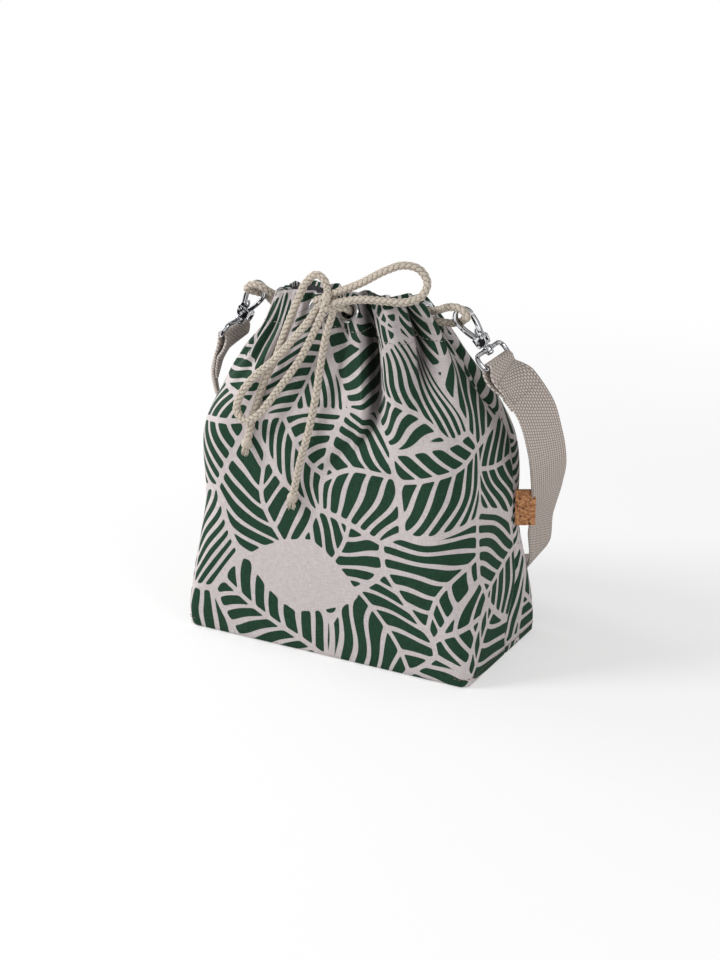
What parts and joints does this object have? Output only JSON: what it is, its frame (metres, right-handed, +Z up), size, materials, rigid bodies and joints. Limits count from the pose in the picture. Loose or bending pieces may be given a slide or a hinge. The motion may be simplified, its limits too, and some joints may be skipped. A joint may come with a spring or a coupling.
{
  "type": "drawstring lunch bag",
  "caption": "Soft boxed bag that closes with a cord bow through eyelets and carries on a webbing strap with swivel snap hooks.",
  "frame": {"origin": "middle of the boxed base, on the surface that the bag stands on", "axes": "+Z up, the front with the bow faces -Y, the side with the label tab faces +X"},
  "size_m": [0.2775, 0.1643, 0.2803],
  "materials": {
    "canvas": "printed cotton canvas",
    "lining": "plain woven lining",
    "cork": "cork fabric",
    "cord": "braided",
    "webbing": "woven webbing",
    "chrome": "polished",
    "spring_steel": "plain"
  },
  "bodies": {
    "bag": {"front_panel": "canvas", "back_panel": "canvas", "lining": "lining", "front_casing": "canvas", "back_casing": "canvas", "front_eyelet_left": "chrome", "front_washer_left": "chrome", "front_eyelet_right": "chrome", "front_washer_right": "chrome", "side_eyelet_right": "chrome", "side_washer_right": "chrome", "side_eyelet_left": "chrome", "side_washer_left": "chrome", "label_tab": "cork", "drawstring_back": "cord", "drawstring_front_left": "cord", "drawstring_front_right": "cord", "bow_lead_left": "cord", "bow_lead_right": "cord", "bow_knot": "cord", "bow_loop_left": "cord", "bow_loop_right": "cord", "bow_tail_left": "cord", "bow_tail_right": "cord", "tail_end_left": "cord", "tail_end_right": "cord"},
    "strap": {"strap_webbing": "webbing", "strap_ring_right": "chrome", "strap_ring_left": "chrome", "side_loop_right": "cord", "side_loop_left": "cord"},
    "hook_right": {"hook_body_right": "chrome", "gate_pin_right": "chrome", "gate_spring_right": "spring_steel"},
    "gate_right": {"gate_right": "chrome"},
    "hook_left": {"hook_body_left": "chrome", "gate_pin_left": "chrome", "gate_spring_left": "spring_steel"},
    "gate_left": {"gate_left": "chrome"}
  },
  "joints": [
    {"name": "strap_swing", "type": "hinge", "parent": "bag", "child": "strap", "pos_m": [0.04732, 0, 0.2395], "axis": [0.9982, 0, 0.0605], "range_deg": [0, 157]},
    {"name": "swivel_right", "type": "hinge", "parent": "strap", "child": "hook_right", "pos_m": [0.0945, 0, 0.223], "axis": [-0.6858, 0, 0.7278], "range_deg": [-20, 20], "deforming": ["side_loop_right"]},
    {"name": "swivel_left", "type": "hinge", "parent": "strap", "child": "hook_left", "pos_m": [-0.0945, 0, 0.2145], "axis": [0.5299, 0, 0.848], "range_deg": [-20, 20], "deforming": ["side_loop_left"]},
    {"name": "gate_right_open", "type": "hinge", "parent": "hook_right", "child": "gate_right", "pos_m": [0.09107, 0, 0.23131], "axis": [0, -1, 0], "range_deg": [0, 25], "stiffness_Nm_per_rad": 0.02, "springref_deg": -28.65, "deforming": ["gate_spring_right"]},
    {"name": "gate_left_open", "type": "hinge", "parent": "hook_left", "child": "gate_left", "pos_m": [-0.09276, 0, 0.22332], "axis": [0, 1, 0], "range_deg": [0, 25], "stiffness_Nm_per_rad": 0.02, "springref_deg": -28.65, "deforming": ["gate_spring_left"]}
  ]
}
